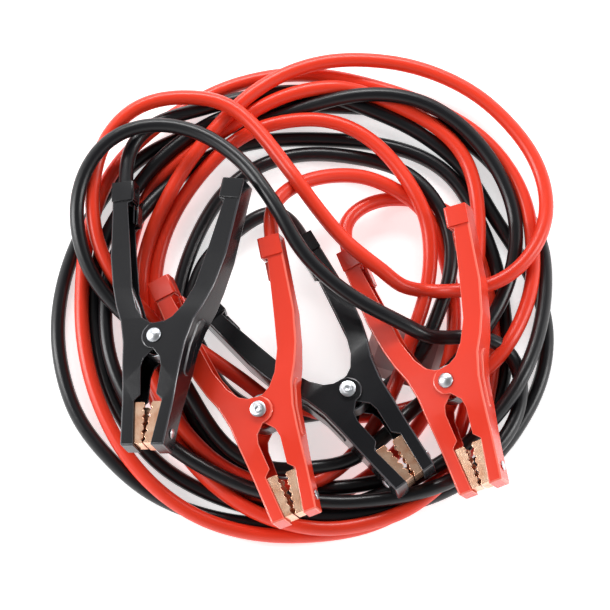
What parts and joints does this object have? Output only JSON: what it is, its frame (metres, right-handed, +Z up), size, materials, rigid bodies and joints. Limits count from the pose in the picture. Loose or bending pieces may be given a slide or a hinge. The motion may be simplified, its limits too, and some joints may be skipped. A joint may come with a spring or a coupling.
{
  "type": "car jumper cable",
  "caption": "Car jumper cable: two thick leads, one red and one black, lying in a coil, with a sprung steel clamp with copper-plated jaws on each end, and a small blank card.",
  "frame": {"origin": "on the floor under the middle of the box round the four clamps and the card", "axes": "+X to the right of the pictured set, +Y from the jaws of the clamps towards their handles, +Z up; it lies on the floor as it was pictured"},
  "size_m": [0.306, 0.306, 0.0685],
  "materials": {
    "black_paint": "gloss dip coat",
    "red_paint": "gloss dip coat",
    "copper_plate": "satin copper plating on steel",
    "zinc_plate": "zinc plated, satin",
    "spring_steel": "drawn wire, satin",
    "black_jacket": "soft plastic jacket, semi-gloss",
    "red_jacket": "soft plastic jacket, semi-gloss",
    "card_stock": "coated card, blank"
  },
  "bodies": {
    "set_on_the_floor": {"coil": "black_jacket", "black_lead_1_end": "black_jacket", "black_lead_2_end": "black_jacket", "red_lead_1_end": "red_jacket", "red_lead_2_end": "red_jacket", "black_loop": "black_jacket", "red_loop": "red_jacket", "red_chord": "red_jacket", "blank_card": "card_stock", "black_clamp_1_lead_handle": "black_paint", "black_clamp_1_lead_jaw": "copper_plate", "black_clamp_1_lead_jaw_rivet": "zinc_plate", "black_clamp_1_pivot_rivet": "zinc_plate", "black_clamp_1_spring": "spring_steel", "red_clamp_1_lead_handle": "red_paint", "red_clamp_1_lead_jaw": "copper_plate", "red_clamp_1_lead_jaw_rivet": "zinc_plate", "red_clamp_1_pivot_rivet": "zinc_plate", "red_clamp_1_spring": "spring_steel", "black_clamp_2_lead_handle": "black_paint", "black_clamp_2_lead_jaw": "copper_plate", "black_clamp_2_lead_jaw_rivet": "zinc_plate", "black_clamp_2_pivot_rivet": "zinc_plate", "black_clamp_2_spring": "spring_steel", "red_clamp_2_lead_handle": "red_paint", "red_clamp_2_lead_jaw": "copper_plate", "red_clamp_2_lead_jaw_rivet": "zinc_plate", "red_clamp_2_pivot_rivet": "zinc_plate", "red_clamp_2_spring": "spring_steel"},
    "black_clamp_1_free_half": {"black_clamp_1_free_handle": "black_paint", "black_clamp_1_free_jaw": "copper_plate", "black_clamp_1_free_jaw_rivet": "zinc_plate"},
    "red_clamp_1_free_half": {"red_clamp_1_free_handle": "red_paint", "red_clamp_1_free_jaw": "copper_plate", "red_clamp_1_free_jaw_rivet": "zinc_plate"},
    "black_clamp_2_free_half": {"black_clamp_2_free_handle": "black_paint", "black_clamp_2_free_jaw": "copper_plate", "black_clamp_2_free_jaw_rivet": "zinc_plate"},
    "red_clamp_2_free_half": {"red_clamp_2_free_handle": "red_paint", "red_clamp_2_free_jaw": "copper_plate", "red_clamp_2_free_jaw_rivet": "zinc_plate"}
  },
  "joints": [
    {"name": "black_clamp_1_opens", "type": "hinge", "parent": "set_on_the_floor", "child": "black_clamp_1_free_half", "pos_m": [-0.09055, 0.00386, 0.0482], "axis": [-0.328, 0.138, 0.9345], "range_deg": [0, 25], "stiffness_Nm_per_rad": 1.5, "springref_deg": -28.65, "deforming": ["black_clamp_1_spring"]},
    {"name": "red_clamp_1_opens", "type": "hinge", "parent": "set_on_the_floor", "child": "red_clamp_1_free_half", "pos_m": [-0.02695, -0.03964, 0.0407], "axis": [0.2881, -0.0005, -0.9576], "range_deg": [0, 25], "stiffness_Nm_per_rad": 1.5, "springref_deg": -28.65, "deforming": ["red_clamp_1_spring"]},
    {"name": "black_clamp_2_opens", "type": "hinge", "parent": "set_on_the_floor", "child": "black_clamp_2_free_half", "pos_m": [0.02545, -0.02564, 0.02767], "axis": [0.12, -0.1382, -0.9831], "range_deg": [0, 25], "stiffness_Nm_per_rad": 1.5, "springref_deg": -28.65, "deforming": ["black_clamp_2_spring"]},
    {"name": "red_clamp_2_opens", "type": "hinge", "parent": "set_on_the_floor", "child": "red_clamp_2_free_half", "pos_m": [0.08745, -0.02014, 0.0372], "axis": [-0.3312, -0.0258, 0.9432], "range_deg": [0, 25], "stiffness_Nm_per_rad": 1.5, "springref_deg": -28.65, "deforming": ["red_clamp_2_spring"]}
  ]
}
